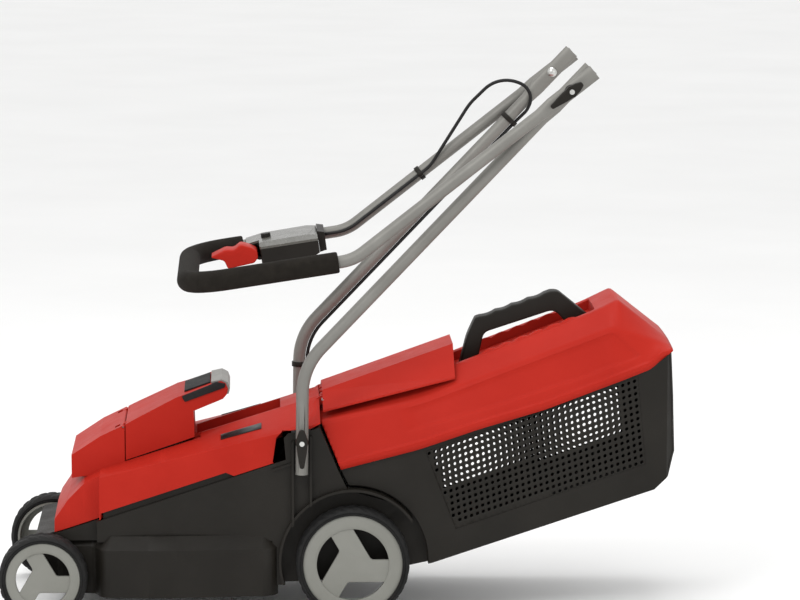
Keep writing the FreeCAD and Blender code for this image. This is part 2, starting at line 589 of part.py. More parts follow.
def wing_knob(x, z, y, tilt):
    """A tapered two-armed wing on a round hub, long arm towards the tube's foot."""
    half = [(-21, 4), (-8, 9), (10, 9), (41, 3.5)]
    points = [V(x, 0, z) for x, z in half] + [V(x, 0, -z) for x, z in reversed(half)]
    arm = Part.Face(Part.makePolygon(points + points[:1])).extrude(V(0, 9, 0))
    arm.translate(V(0, 7, 0))
    hub = Part.makeCylinder(10.5, 8, V(0, 0, 0), V(0, 1, 0))
    knob = joined([hub, arm]).cut(Part.makeCylinder(4 + RUNNING, 60, V(0, -10, 0), V(0, 1, 0)))
    knob.rotate(V(0, 0, 0), V(0, 1, 0), tilt)
    knob.translate(V(x, y, z))
    return knob


base_knob = wing_knob(BASE[0], BASE[1], LOWER_Y + TUBE_R + 0.4, 90)
fold_knob = wing_knob(PIVOT[0], PIVOT[1], UPPER_Y + 3.4, 38)
for name, knob in (("base", base_knob), ("fold", fold_knob)):
    write("wing_knob_%s_left" % name, knob)
    write("wing_knob_%s_right" % name, mirrored(knob))

# Rear flap over the grass box

def flap_section(x, inset):
    top = along((36, 351), (-165, 422), x)
    low = along((35, 326), (-170, 377), x)
    wide = 110 - inset
    half = [(48, top - inset), (wide, low + 2 - inset * 0.5), (wide, low - 1 - 9 * (inset > 0))]
    return [V(x, y, z) for y, z in half] + [V(x, -y, z) for y, z in reversed(half)]


def faceted(a, b):
    """A solid between two rings of points, each side split into two flat triangles, the same both sides of Y = 0."""
    faces = [Part.Face(Part.makePolygon(ring + ring[:1])) for ring in (a, b)]
    for i in range(len(a)):
        j = (i + 1) % len(a)
        right = [(a[i], a[j], b[j]), (a[i], b[j], b[i])]
        left = [(a[i], a[j], b[i]), (a[j], b[j], b[i])]
        for corners in left if a[i].y + a[j].y < 0 else right:
            faces.append(Part.Face(Part.makePolygon(list(corners) + [corners[0]])))
    return Part.makeSolid(Part.makeShell(faces))


def flap():
    outer = faceted(flap_section(45.0, 0), flap_section(-165.0, 0))
    inner = faceted(flap_section(45.5, 3), flap_section(-165.5, 3))
    skin = outer.cut(inner)
    knuckles = [rod_y(FLAP_HINGE[0], FLAP_HINGE[1], 5.5, y, y + 22) for y in (-46, -11, 24)]
    webs = [box(36, FLAP_HINGE[0], y, y + 22, FLAP_HINGE[1], 346.5) for y in (-46, -11, 24)]
    body = joined([skin] + knuckles + webs)
    return body.cut(rod_y(FLAP_HINGE[0], FLAP_HINGE[1], 2.5 + RUNNING, -80, 80))


write("rear_flap", flap())
write("flap_hinge_pin", rod_y(FLAP_HINGE[0], FLAP_HINGE[1], 2.5, -60, 60))

# Grass box: red lid on a black basket, with a perforated panel let into each side
LID_LOW = [(54, 229), (19, 238), (-107, 270), (-202, 302), (-305, 332), (-472, 394.7), (-509, 424)]
LID_EDGE = [(54, 309), (-109, 342), (-414, 457), (-509, 428)]
LID_TOP = [(54, 315), (-109, 366), (-165, 390), (-380, 472), (-428, 495), (-509, 431)]
BOX_FRONT = [(50, 310), (18.7, 238), (0, 200), (-34, 138), (-89, 76)]
BASKET_Y, LID_Y = 146.0, 151.0


def profile_at(points, x):
    """Height of a line of (x, z) points, given from front to rear, at x."""
    for a, b in zip(points, points[1:]):
        if b[0] <= x <= a[0]:
            return along(a, b, x)
    return points[-1][1]


def lid_half(x, inset):
    low, edge, top = (profile_at(p, x) for p in (LID_LOW, LID_EDGE, LID_TOP))
    edge = max(edge, low + 4.5)
    top = max(top, edge + 1)
    squeeze = 1 - 0.05 * max(0.0, (-x - 428) / 81.0)
    side_low = low - 6 * (inset > 0)
    step = min(14.0, (edge - low) * 0.6)
    return [(0, side_low), ((LID_Y - inset) * squeeze, side_low), ((LID_Y - inset) * squeeze, low + step - 2),
            ((LID_Y - 5 - inset) * squeeze, low + step), ((120 - inset) * squeeze, edge - inset * 0.7),
            ((70 - inset * 0.5) * squeeze, top - inset), (0, top + 1 - inset)]


def lid():
    stations = [54, 19, -107, -165, -202, -305, -380, -414, -428, -472, -509]
    outer = loft([cross_section(x, lid_half(x, 0)) for x in stations])
    inner = loft([cross_section(x, lid_half(x, 2.5)) for x in stations[1:-1] + [-506]])
    inner = inner.fuse(loft([cross_section(x, lid_half(x, 2.5)) for x in [54, 19]]))
    recess_top = side([(-168, 376), (-392, 461), (-392, 540), (-168, 470)], -52, 52)
    recess_shell = side([(-165.5, 373), (-394.5, 458.3), (-394.5, 475), (-380, 472), (-165.5, 390.2)], -54.5, 54.5)
    front = side([(70, 400), (49.4, 400), (49, 310), (18, 238), (15, 220), (70, 220)], -200, 200)
    shell = outer.cut(inner)
    return joined([shell, recess_shell]).cut(recess_top).cut(front)


box_lid = lid()
write("box_lid", box_lid)

PANEL = [(-116.5, 264.6), (-453.0, 382.0), (-466.5, 241.5), (-164.5, 138.8)]


def basket():
    low = LID_LOW[1:]
    outer_points = BOX_FRONT[1:] + [(-127, 84), (-481, 200), (-503, 221), (-513.8, 260), (-511, 350), (-507, 421)]
    inner_points = [(15, 238), (-3, 200), (-36, 142), (-89, 80), (-127, 87.5), (-480, 203), (-500, 223.5),
                    (-510.5, 261), (-508, 350), (-504, 421)]
    outer = side(outer_points + [(x, z - 0.3) for x, z in reversed(low[1:-1])], -BASKET_Y, BASKET_Y)
    inner = side(inner_points + [(x, z + 20) for x, z in reversed(low[1:-1])], -BASKET_Y + 3, BASKET_Y - 3)
    dent = rod_y(0, REAR_WHEEL_R, 121, 126, 200)
    dent_in = rod_y(0, REAR_WHEEL_R, 124, 123, 200)
    inner = inner.cut(dent_in).cut(mirrored(dent_in))
    mouth = side([(60, 238), (60, 139), (-30, 139), (-60, 150), (-60, 262), (-20, 255)], -123, 123)
    shell = outer.cut(dent).cut(mirrored(dent)).cut(inner).cut(mouth)
    # rear corners turned in
    corner = Part.Face(Part.makePolygon([V(-488, 160, 0), V(-530, 160, 0), V(-530, 132, 0), V(-512, 132, 0),
                                         V(-488, 160, 0)])).extrude(V(0, 0, 600))
    shell = shell.cut(corner).cut(mirrored(corner))
    corner_wall = Part.Face(Part.makePolygon([V(-493, 146, 0), V(-499, 146, 0), V(-513, 130, 0), V(-509, 130, 0),
                                              V(-493, 146, 0)])).extrude(V(0, 0, 600))
    wall = corner_wall.common(side(outer_points + [(x, z - 0.3) for x, z in reversed(low[1:-1])], -BASKET_Y, BASKET_Y))
    shell = joined([shell, wall, mirrored(wall)])
    window = side(PANEL, 130, 160)
    shell = shell.cut(window).cut(mirrored(window))
    return shell


write("box_basket", basket())
grille = side(PANEL, BASKET_Y - 2.6, BASKET_Y - 0.6)
write("grille_left", grille)
write("grille_right", mirrored(grille))

arch_outer = [(-177, 380), (-190, 430), (-203, 458), (-325, 501), (-337, 501), (-386, 463), (-384, 452), (-352, 440),
              (-331, 471), (-217, 434), (-212, 424), (-210, 388)]
carry = side(arch_outer, -15, 15)
under_lid = side([(-150, 200), (-150, 369.2), (-168, 376), (-392, 461), (-428, 474.7), (-428, 200)], -60, 60)
write("box_handle", carry.cut(under_lid))

# Control cable on the right side: along the loop's bar, slack past the fold bolt, down the lower tube
down = (V(ELBOW[0], 0, ELBOW[1]) - V(PIVOT[0], 0, PIVOT[1])).normalize()
under = V(-down.z, 0, down.x)
if under.z > 0:
    under = under * -1
OFFSET = TUBE_R + CABLE_R + 0.4


def beneath(s, y):
    """A point under the right lower tube, a distance s below the fold bolt."""
    p = V(PIVOT[0], y, PIVOT[1]) + down * s + under * OFFSET
    return p


side_y = -UPPER_Y + OFFSET
clip_a = V(-127.0, side_y, along(GRIP_BEND, PIVOT, -127.0))
upper_path = [grip(BOX_START - 8.4, side_y, 0), V(GRIP_BEND[0], side_y, GRIP_BEND[1]), clip_a]
write("cable_upper", tube(upper_path, [72], CABLE_R))
clip_b = beneath(100, -LOWER_Y)
up_dir = (V(GRIP_BEND[0], 0, GRIP_BEND[1]) - V(PIVOT[0], 0, PIVOT[1])).normalize()
loop = [clip_a, clip_a - up_dir * 16, V(-204, -165, 788), V(-252, -154, 836), V(-314, -147, 812),
        beneath(75, -157), clip_b]
write("cable_loop", tube(loop, [60, 100, 52, 28, 28], CABLE_R))
to_foot = (V(BASE[0], 0, FOOT_Z) - V(ELBOW[0], 0, ELBOW[1])).normalize()
half_turn = to_foot.getAngle(down * -1) / 2
turn = V(ELBOW[0], -LOWER_Y, ELBOW[1]) + (to_foot - down).normalize() * (OFFSET / math.sin(half_turn))
lower_path = [clip_b, turn, turn + to_foot * (turn.z - 338), V(CABLE_IN[0], CABLE_IN[1], 318),
              V(CABLE_IN[0], CABLE_IN[1], 297)]
write("cable_lower", tube(lower_path, [92, 28, 28], CABLE_R))


def clip(centre, direction, cable_at, length):
    """A band round a tube and the cable beside it."""
    base = centre - direction * (length / 2)
    ring = Part.makeCylinder(TUBE_R + 2.2, length, base, direction)
    shift = cable_at - centre
    ring = ring.fuse(Part.makeCylinder(CABLE_R + 2, length, base + shift, direction))
    ring = ring.cut(Part.makeCylinder(TUBE_R, length, base, direction))
    return ring.cut(Part.makeCylinder(CABLE_R, length, base + shift, direction))


a_centre = V(clip_a.x, -UPPER_Y, clip_a.z) + up_dir * 5
write("cable_clip_upper", clip(a_centre, up_dir, V(a_centre.x, side_y, a_centre.z), 8))
b_centre = V(PIVOT[0], -LOWER_Y, PIVOT[1]) + down * 105
c_centre = V(ELBOW[0], -LOWER_Y, ELBOW[1]) + to_foot * 48
beside = V(to_foot.z, 0, -to_foot.x)
clips = [clip(b_centre, down, b_centre + under * OFFSET, 8),
         clip(c_centre, to_foot, c_centre + beside * OFFSET, 8)]
write("cable_clips_lower", Part.makeCompound(clips))
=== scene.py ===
"""Looks of the cordless push lawn mower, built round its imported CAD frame. Metres."""
import bmesh
import bpy
import json
import math
from mathutils import Matrix, Vector


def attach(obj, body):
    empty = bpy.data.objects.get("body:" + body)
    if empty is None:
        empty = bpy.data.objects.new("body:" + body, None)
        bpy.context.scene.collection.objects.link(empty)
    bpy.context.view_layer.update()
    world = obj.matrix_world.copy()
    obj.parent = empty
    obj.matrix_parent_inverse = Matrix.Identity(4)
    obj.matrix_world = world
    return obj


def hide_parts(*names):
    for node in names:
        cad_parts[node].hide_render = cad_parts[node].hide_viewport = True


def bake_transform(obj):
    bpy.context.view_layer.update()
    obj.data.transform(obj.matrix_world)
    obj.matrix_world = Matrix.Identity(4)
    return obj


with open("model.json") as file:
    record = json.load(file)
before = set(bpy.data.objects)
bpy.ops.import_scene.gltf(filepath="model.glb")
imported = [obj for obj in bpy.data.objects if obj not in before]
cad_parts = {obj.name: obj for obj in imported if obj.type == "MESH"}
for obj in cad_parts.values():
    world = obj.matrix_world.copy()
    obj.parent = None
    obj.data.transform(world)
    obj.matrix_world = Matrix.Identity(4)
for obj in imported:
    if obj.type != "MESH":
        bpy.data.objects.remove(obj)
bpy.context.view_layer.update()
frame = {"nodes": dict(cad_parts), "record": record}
NODES = frame["nodes"]
SCENE = bpy.context.scene

# Camera: a long lens a little above the axle line, on the mower's left side
YAW, PITCH = math.radians(2.4685), math.radians(8.3893)
CAMERA_AT = (0.1474, 5.8476, 1.3491)
LENS, SENSOR = 164.9, 36.0
MIDDLE = (0, 0, 0.4)         # what the lights point at
FLOOR_REACH = 30


def add_camera():
    data = bpy.data.cameras.new("camera")
    data.lens, data.sensor_width = LENS, SENSOR
    data.clip_start, data.clip_end = 0.5, 80.0
    camera = bpy.data.objects.new("camera", data)
    SCENE.collection.objects.link(camera)
    ahead = Vector((-math.sin(YAW) * math.cos(PITCH), -math.cos(YAW) * math.cos(PITCH), -math.sin(PITCH)))
    right = ahead.cross(Vector((0, 0, 1))).normalized()
    up = right.cross(ahead)
    rows = [(right[i], up[i], -ahead[i], CAMERA_AT[i]) for i in range(3)]
    camera.matrix_world = Matrix(rows + [(0, 0, 0, 1)])
    SCENE.camera = camera


def add_light(name, place, size, power):
    data = bpy.data.lights.new(name, "AREA")
    data.shape, data.size, data.energy = "DISK", size, power
    light = bpy.data.objects.new(name, data)
    light.location = place
    light.rotation_euler = (Vector(MIDDLE) - Vector(place)).to_track_quat("-Z", "Y").to_euler()
    SCENE.collection.objects.link(light)


def add_studio():
    world = bpy.data.worlds.new("studio")
    world.use_nodes = True
    world.node_tree.nodes["Background"].inputs["Color"].default_value = (1, 1, 1, 1)
    world.node_tree.nodes["Background"].inputs["Strength"].default_value = 1.0
    SCENE.world = world
    SCENE.view_settings.view_transform = "Standard"
    add_light("key", (1.4, 2.4, 3.0), 1.4, 38)
    add_light("fill", (-2.6, 2.8, 1.4), 1.8, 8)
    add_light("top", (-0.2, -0.6, 3.4), 1.6, 26)
    mesh = bpy.data.meshes.new("floor")
    far = FLOOR_REACH
    mesh.from_pydata([(-far, -far, 0), (far, -far, 0), (far, far, 0), (-far, far, 0)], [], [(0, 1, 2, 3)])
    floor = bpy.data.objects.new("floor", mesh)
    SCENE.collection.objects.link(floor)
    paint = finish("floor_paint", (0.86, 0.86, 0.855), (0.90, 0.90, 0.895), 1.5, (0.75, 0.9), 40, 0.0001)
    floor.data.materials.append(paint)


# Materials
def finish(name, dark, light, patch, rough, grain, depth, metal=0.0, shine=0.25, mottle=0.5):
    """A moulded, painted or rolled surface: two tones in soft patches, uneven gloss and a fine grain."""
    material = bpy.data.materials.new(name)
    material.use_nodes = True
    tree = material.node_tree
    surface = tree.nodes["Principled BSDF"]
    surface.inputs["Metallic"].default_value = metal
    surface.inputs["Specular IOR Level"].default_value = shine
    place = tree.nodes.new("ShaderNodeTexCoord")

    def noise(scale, detail, roughness=0.55):
        node = tree.nodes.new("ShaderNodeTexNoise")
        node.inputs["Scale"].default_value = scale
        node.inputs["Detail"].default_value = detail
        node.inputs["Roughness"].default_value = roughness
        tree.links.new(place.outputs["Object"], node.inputs["Vector"])
        return node

    patches = noise(patch, 5)
    ramp = tree.nodes.new("ShaderNodeValToRGB")
    ramp.color_ramp.elements[0].position = 0.5 - mottle / 2
    ramp.color_ramp.elements[0].color = (*dark, 1)
    ramp.color_ramp.elements[1].position = 0.5 + mottle / 2
    ramp.color_ramp.elements[1].color = (*light, 1)
    tree.links.new(patches.outputs["Fac"], ramp.inputs["Fac"])
    tree.links.new(ramp.outputs["Color"], surface.inputs["Base Color"])

    smears = noise(patch * 3.1, 8, 0.65)
    gloss = tree.nodes.new("ShaderNodeMapRange")
    gloss.inputs["From Min"].default_value, gloss.inputs["From Max"].default_value = 0.3, 0.7
    gloss.inputs["To Min"].default_value, gloss.inputs["To Max"].default_value = rough
    tree.links.new(smears.outputs["Fac"], gloss.inputs["Value"])
    tree.links.new(gloss.outputs["Result"], surface.inputs["Roughness"])

    fine = noise(grain, 3, 0.6)
    bump = tree.nodes.new("ShaderNodeBump")
    bump.inputs["Strength"].default_value = 0.5
    bump.inputs["Distance"].default_value = depth
    tree.links.new(fine.outputs["Fac"], bump.inputs["Height"])
    tree.links.new(bump.outputs["Normal"], surface.inputs["Normal"])
    return material


# Slot: dark and light tone (linear colours), patch scale, roughness range, grain scale and depth in metres
LOOKS = {
    "red_plastic": ((0.375, 0.0175, 0.0105), (0.435, 0.0230, 0.0140),
                    9, (0.38, 0.50), 900, 0.0002, {"shine": 0.06}),
    "black_plastic": ((0.0088, 0.0074, 0.0055), (0.0160, 0.0138, 0.0108),
                      8, (0.42, 0.58), 1100, 0.0004, {"shine": 0.2}),
    "tube_grey": ((0.185, 0.180, 0.165), (0.235, 0.230, 0.212),
                  14, (0.42, 0.54), 1500, 0.0001, {"metal": 0.3}),
    "hub_grey": ((0.195, 0.195, 0.172), (0.235, 0.235, 0.212), 12, (0.46, 0.58), 1100, 0.0003, {}),
    "tyre_black": ((0.0070, 0.0070, 0.0070), (0.0150, 0.0145, 0.0140), 20, (0.62, 0.80), 1400, 0.0005, {}),
    "foam_black": ((0.0095, 0.0078, 0.0060), (0.0165, 0.0138, 0.0108),
                   60, (0.82, 0.95), 1600, 0.0008, {"shine": 0.15}),
    "grip_rubber": ((0.0100, 0.0100, 0.0100), (0.0170, 0.0170, 0.0170), 30, (0.62, 0.80), 1800, 0.0004, {}),
    "box_grey": ((0.070, 0.068, 0.058), (0.100, 0.097, 0.084),
                 18, (0.22, 0.34), 1200, 0.0002, {"shine": 0.6}),
    "light_grey": ((0.21, 0.205, 0.190), (0.27, 0.265, 0.245), 16, (0.38, 0.50), 1200, 0.0002, {}),
    "zinc_steel": ((0.50, 0.50, 0.48), (0.64, 0.64, 0.62), 90, (0.22, 0.36), 2500, 0.00008, {"metal": 1.0}),
    "axle_steel": ((0.40, 0.40, 0.40), (0.55, 0.55, 0.55), 60, (0.28, 0.42), 2500, 0.00008, {"metal": 1.0}),
    "blade_steel": ((0.16, 0.16, 0.165), (0.26, 0.26, 0.27), 40, (0.34, 0.5), 1500, 0.0002, {"metal": 1.0}),
    "motor_steel": ((0.30, 0.30, 0.31), (0.42, 0.42, 0.43), 40, (0.3, 0.45), 1500, 0.0001, {"metal": 1.0}),
    "cable_black": ((0.0070, 0.0070, 0.0070), (0.0130, 0.0130, 0.0130), 50, (0.40, 0.52), 1500, 0.0001, {}),
    "badge_black": ((0.0060, 0.0060, 0.0060), (0.0110, 0.0110, 0.0110), 30, (0.26, 0.38), 1200, 0.0001, {}),
    "battery_black": ((0.010, 0.010, 0.010), (0.018, 0.018, 0.018), 30, (0.46, 0.62), 1200, 0.0004, {}),
}
MATERIALS = {name: finish(name, *look[:6], **look[6]) for name, look in LOOKS.items()}
NODE_SLOT = {part["node"]: part["material_slot"] for part in frame["record"]["subparts"]}


EDGE_ROUNDING = 0.0008       # metres


def dress_node(name):
    """A CAD node keeps its shape, with its edges softened, and takes its slot's material."""
    item = NODES[name]
    item.data.materials.clear()
    item.data.materials.append(MATERIALS[NODE_SLOT[name]])
    weld = item.modifiers.new("weld", "WELD")
    weld.merge_threshold = 0.00002
    soften = item.modifiers.new("soften", "BEVEL")
    soften.width, soften.segments, soften.limit_method = EDGE_ROUNDING, 2, "ANGLE"
    soften.angle_limit = math.radians(28)
    soften.harden_normals = True


# Shape helpers. Shapes are laid out in millimetres from the ground point under the rear axle.
REAR_AXLE_X = -22.5


def at(x, y, z):
    """A point of the layout in the row frame."""
    return Vector(((x + REAR_AXLE_X) / 1000, y / 1000, z / 1000))


def make(name, slot, body, replaced, verts, faces, crease=32, solid=0.0, cuts=()):
    """A piece from its mesh: cut by planes, cleaned, given a wall of solid mm, and tied to its body."""
    mesh = bpy.data.meshes.new(name)
    mesh.from_pydata([at(*v) for v in verts], [], faces)
    work = bmesh.new()
    work.from_mesh(mesh)
    bmesh.ops.remove_doubles(work, verts=work.verts, dist=0.00001)
    for place, normal in cuts:
        everything = list(work.verts) + list(work.edges) + list(work.faces)
        bmesh.ops.bisect_plane(work, geom=everything, plane_co=at(*place), plane_no=Vector(normal),
                               clear_outer=True)
    bmesh.ops.recalc_face_normals(work, faces=work.faces)
    work.to_mesh(mesh)
    work.free()
    mesh.shade_smooth()
    mesh.set_sharp_from_angle(angle=math.radians(crease))
    mesh.materials.append(MATERIALS[slot])
    item = bpy.data.objects.new(name, mesh)
    SCENE.collection.objects.link(item)
    if solid:
        shell = item.modifiers.new("wall", "SOLIDIFY")
        shell.thickness, shell.offset = abs(solid) / 1000, math.copysign(1, solid)
    if body:
        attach(item, body)
    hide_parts(*replaced)
    return item


def joined(*shapes):
    """Several (verts, faces) shapes as one."""
    verts, faces = [], []
    for more_verts, more_faces in shapes:
        base = len(verts)
        verts += more_verts
        faces += [tuple(base + i for i in face) for face in more_faces]
    return verts, faces


def moved(shape, change):
    """A shape with every point put through change."""
    verts, faces = shape
    return [change(v) for v in verts], faces


def mirrored(shape):
    """The same shape on the other side of the mower."""
    return moved(shape, lambda v: (v[0], -v[1], v[2]))


def loft(rings, closed=True, caps=True):
    """Quads between rings with the same number of points."""
    count = len(rings[0])
    verts = [v for ring in rings for v in ring]
    last = count if closed else count - 1
    faces = []
    for low in range(0, (len(rings) - 1) * count, count):
        high = low + count
        faces += [(low + i, low + (i + 1) % count, high + (i + 1) % count, high + i) for i in range(last)]
    if caps:
        faces += [tuple(range(count)), tuple(range((len(rings) - 1) * count, len(rings) * count))]
    return verts, faces


def corner(a, p, b, reach, steps):
    """A rounded corner at p between the directions of a and b, as points of any dimension."""
    a, p, b = Vector(a), Vector(p), Vector(b)
    start = p + (a - p).normalized() * min(reach, (a - p).length * 0.48)
    end = p + (b - p).normalized() * min(reach, (b - p).length * 0.48)
    return [tuple(start * (1 - t) ** 2 + p * 2 * t * (1 - t) + end * t * t)
            for t in (i / steps for i in range(steps + 1))]


def rounded(points, reach, steps=4, closed=True):
    """A line of points with its corners rounded; reach is one number or one for each corner."""
    reaches = reach if isinstance(reach, (list, tuple)) else [reach] * len(points)
    out = []
    for i, p in enumerate(points):
        if reaches[i] <= 0 or not closed and i in (0, len(points) - 1):
            out.append(tuple(p))
        else:
            out += corner(points[i - 1], p, points[(i + 1) % len(points)], reaches[i], steps)
    return out


def inset(outline, d):
    """A closed (x, z) outline moved inwards by d."""
    area = sum(a[0] * b[1] - b[0] * a[1] for a, b in zip(outline, outline[1:] + outline[:1]))
    turn = 1 if area > 0 else -1
    out = []
    for i, p in enumerate(outline):
        before = (Vector(p) - Vector(outline[i - 1])).normalized()
        after = (Vector(outline[(i + 1) % len(outline)]) - Vector(p)).normalized()
        one, two = Vector((-before.y, before.x)) * turn, Vector((-after.y, after.x)) * turn
        middle = (one + two).normalized()
        reach = d / max(0.45, middle.dot(one))
        out.append((p[0] + middle.x * reach, p[1] + middle.y * reach))
    return out


def slab(outline, y0, y1, edge, steps=3):
    """An (x, z) outline drawn out along Y, with its long edges rounded."""
    rings = []
    for side, y in ((1, y0), (-1, y1)):
        turns = [math.pi / 2 * i / steps for i in range(steps + 1)]
        if side < 0:
            turns.reverse()
        for a in turns:
            ring = inset(outline, edge * (1 - math.sin(a)))
            rings.append([(x, y + side * edge * (1 - math.cos(a)), z) for x, z in ring])
    return loft(rings)


def revolve(profile, count, depth=lambda i, k: 0):
    """A closed (radius, y) profile turned about the Y axis; depth sinks point k of the profile at step i."""
    rings = []
    for i in range(count):
        a = 2 * math.pi * i / count
        radii = [r - depth(i, k) for k, (r, y) in enumerate(profile)]
        rings.append([(r * math.cos(a), y, r * math.sin(a)) for r, (bare, y) in zip(radii, profile)])
    rings.append(rings[0])
    return loft(rings, caps=False)


def sweep(path, radius, count):
    """A round section along a path; radius is a number or one for each point."""
    points = [Vector(p) for p in path]
    radii = radius if isinstance(radius, list) else [radius] * len(points)
    ahead, behind = points[1:] + points[-1:], points[:1] + points[:-1]
    tangents = [(a - b).normalized() for a, b in zip(ahead, behind)]
    side = tangents[0].orthogonal().normalized()
    rings = []
    for p, t, r in zip(points, tangents, radii):
        side = (side - t * side.dot(t)).normalized()
        up = t.cross(side)
        rings.append([tuple(p + (side * math.cos(a) + up * math.sin(a)) * r)
                      for a in (2 * math.pi * k / count for k in range(count))])
    return loft(rings)


def line(points):
    """Height of a line of (x, z) points, given from front to rear, at x."""
    def between(a, b, x):
        return a[1] + (b[1] - a[1]) * (x - a[0]) / (b[0] - a[0])

    def height(x):
        if x >= points[0][0]:
            return between(points[0], points[1], x)
        for a, b in zip(points, points[1:]):
            if b[0] <= x <= a[0]:
                return between(a, b, x)
        return points[-1][1]
    return height


def ease(t):
    """From 0 to 1 with a level start and end."""
    t = min(1.0, max(0.0, t))
    return t * t * (3 - 2 * t)


add_camera()
add_studio()
for node in NODES:
    dress_node(node)


# Grass box: lid
LID_FRONT, LID_REAR = 54, -509
LOW_POINTS = [(54, 229), (19, 238), (-107, 270), (-202, 302), (-305, 332), (-472, 394.7), (-509, 424)]
LID_LOW = line(rounded(LOW_POINTS, [0, 6, 18, 18, 18, 3, 0], 5, closed=False))
LID_EDGE = line(rounded([(54, 309), (-109, 342), (-414, 457), (-509, 428)], [0, 20, 5, 0], 5, closed=False))
LID_TOP = line(rounded([(54, 315), (-109, 366), (-165, 390), (-380, 472), (-428, 495), (-509, 431)],
                       [0, 10, 10, 14, 5, 0], 5, closed=False))
LID_SKIRT_Y, LID_WALL_Y, LID_EDGE_Y, LID_TOP_Y = 151, 146, 120, 70
SKIRT_DROP = 1.2             # how far the skirt hangs over the basket's upper edge
LID_SHEET = 2.4
FIELD = [(-68, 337), (-84, 293), (-271, 347), (-419, 398), (-459, 412), (-404, 462)]
FIELD_DEPTH, FIELD_FADE, FIELD_RIM, FIELD_CREST = 2.6, 28.0, 5.0, 13.0
FIELD_STEPS, CROWN_STEPS = 26, 6
RECESS_REAR, RECESS_FRONT, RECESS_HALF = -392.0, -168.0, 52.0
RECESS_FLOOR_FRONT, RECESS_FLOOR_REAR = 376, 461
SCALLOPS = [-222 - 25.5 * i for i in range(6)]
SCALLOP_HALF, SCALLOP_RISE, RIM_DROP = 11.0, 3.6, 1.2
RIB_PITCH, RIB_RISE, RIB_HALF = 9.0, 1.4, 41
RECESS_RIM_Y = 60
RIM_STATIONS = (RECESS_RIM_Y, 58.5, 55.0, RECESS_HALF + 1.5, RECESS_HALF + 0.2,
                RECESS_HALF - 0.2, 47.0, 40.0, 20.0, 0.0)


def room_beside(a, b, p):
    """Distance of p from the line from a to b, above zero on the line's left."""
    across, up = b[0] - a[0], b[1] - a[1]
    return (across * (p[1] - a[1]) - up * (p[0] - a[0])) / math.hypot(across, up)


def field_depth(x, z):
    """How far the shallow field on the lid's side is sunk at a point: it fades in at the front."""
    sunk = ease((LID_EDGE(x) - 2.0 - z) / FIELD_CREST)
    for i, (a, b) in enumerate(zip(FIELD, FIELD[1:])):
        outside = room_beside(a, b, (x, z))
        sunk *= ease(-outside / FIELD_FADE) if i == 0 else ease(-outside / FIELD_RIM + 0.2)
    return FIELD_DEPTH * sunk


def rim_height(x, y, top):
    """Height of the lid's middle part: its crown, and the handle recess's scalloped rim and ribbed floor."""
    inside = RECESS_REAR < x < RECESS_FRONT
    if y <= RECESS_HALF and inside:
        run = RECESS_REAR - RECESS_FRONT
        floor = RECESS_FLOOR_FRONT + (x - RECESS_FRONT) * (RECESS_FLOOR_REAR - RECESS_FLOOR_FRONT) / run
        ribbed = y < RIB_HALF and abs((x / RIB_PITCH) % 2 - 1) > 0.5
        return floor + (RIB_RISE if ribbed else 0.0)
    z = top + (LID_TOP_Y - y) / LID_TOP_Y
    if RECESS_HALF < y < RECESS_RIM_Y:
        crest = y < RECESS_RIM_Y - 2
        rib = max(0.0, 1 - min(abs(x - s) for s in SCALLOPS) / SCALLOP_HALF)
        z += SCALLOP_RISE * math.sqrt(rib) * (1.0 if crest else 0.5) - (RIM_DROP if inside and crest else 0.0)
    return z


def lid_half(x):
    """The lid's cross-section at x from its lower edge up to the middle, as (y, z) points."""
    low, edge, top = LID_LOW(x) - SKIRT_DROP, LID_EDGE(x), LID_TOP(x)
    edge = max(edge, low + 4.5)
    top = max(top, edge + 1)
    squeeze = 1 - 0.05 * max(0.0, (-x - 428) / 81.0)
    step = min(14.0, (edge - low) * 0.6)
    a, b, c = (LID_SKIRT_Y, low), (LID_SKIRT_Y, low + step - 2), (LID_WALL_Y, low + step)
    d, e, f = (LID_EDGE_Y, edge), (LID_TOP_Y, top), (0, top + 1)
    soft = min(7.0, (edge - low) * 0.3)
    out = [a] + corner(a, b, c, 1.2, 2) + corner(b, c, d, 1.6, 3)
    start, end = Vector(out[-1]), Vector(corner(c, d, e, soft, 4)[0])
    for i in range(1, FIELD_STEPS):
        p = start.lerp(end, i / FIELD_STEPS)
        out.append((p.x - field_depth(x, p.y), p.y))
    out += corner(c, d, e, soft, 4)
    start, end = Vector(out[-1]), Vector(corner(d, e, f, 6, 4)[0])
    out += [tuple(start.lerp(end, i / CROWN_STEPS)) for i in range(1, CROWN_STEPS)]
    out += corner(d, e, f, 6, 4)
    for y in RIM_STATIONS:
        out.append((y, rim_height(x, y, top)))
    return [(y * squeeze, z) for y, z in out]


def lid():
    """The red lid as one sheet, cut off at the front where the flap covers it."""
    stations = [LID_FRONT - 4 * i for i in range(140)] + [-508.9, -165.5, -414, -416.5, -426, -430]
    stations += [RECESS_FRONT + 0.3, RECESS_FRONT - 0.3, RECESS_REAR + 0.3, RECESS_REAR - 0.3]
    rings = []
    for x in sorted({x for x in stations if x >= LID_REAR}, reverse=True):
        half = lid_half(x)
        rings.append([(x, y, z) for y, z in half] + [(x, -y, z) for y, z in half[-2::-1]])
    front = Vector((72, 0, -31)).normalized()
    shape = loft(rings, closed=False, caps=False)
    make("box_lid_shell", "red_plastic", "grass_box", ["box_lid"], *shape, crease=24, solid=-LID_SHEET,
         cuts=[((49.2, 0, 300), (1, 0, 0)), ((18, 0, 238), front)])


lid()

